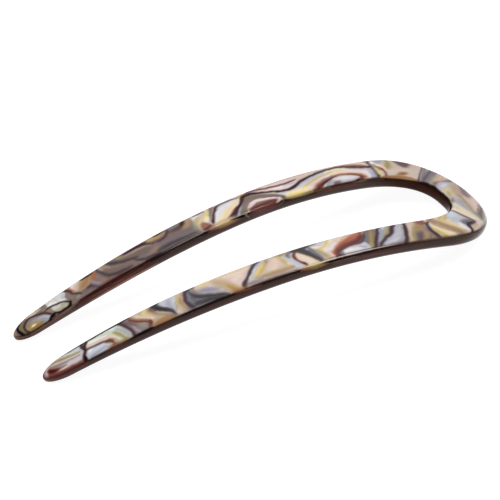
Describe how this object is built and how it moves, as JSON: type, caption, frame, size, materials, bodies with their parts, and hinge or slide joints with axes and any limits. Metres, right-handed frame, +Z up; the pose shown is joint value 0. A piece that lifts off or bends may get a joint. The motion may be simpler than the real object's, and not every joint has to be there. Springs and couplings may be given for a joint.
{
  "type": "french hair pin",
  "caption": "U-shaped hair pin cut from a two-layer sheet: a broad round bow and two tapering, arched prongs with rounded tips.",
  "frame": {"origin": "on the surface that the pin rests on, under the centre of its bounding box", "axes": "+X along the pin to the bow, +Y across the prongs, +Z up on the arched side"},
  "size_m": [0.1228, 0.0402, 0.0135],
  "materials": {
    "pearl_face": "polished acetate, pearl pattern",
    "tortoise_back": "polished translucent dark brown acetate"
  },
  "bodies": {
    "root": {"pearl_face": "pearl_face", "tortoise_back": "tortoise_back"}
  },
  "joints": []
}
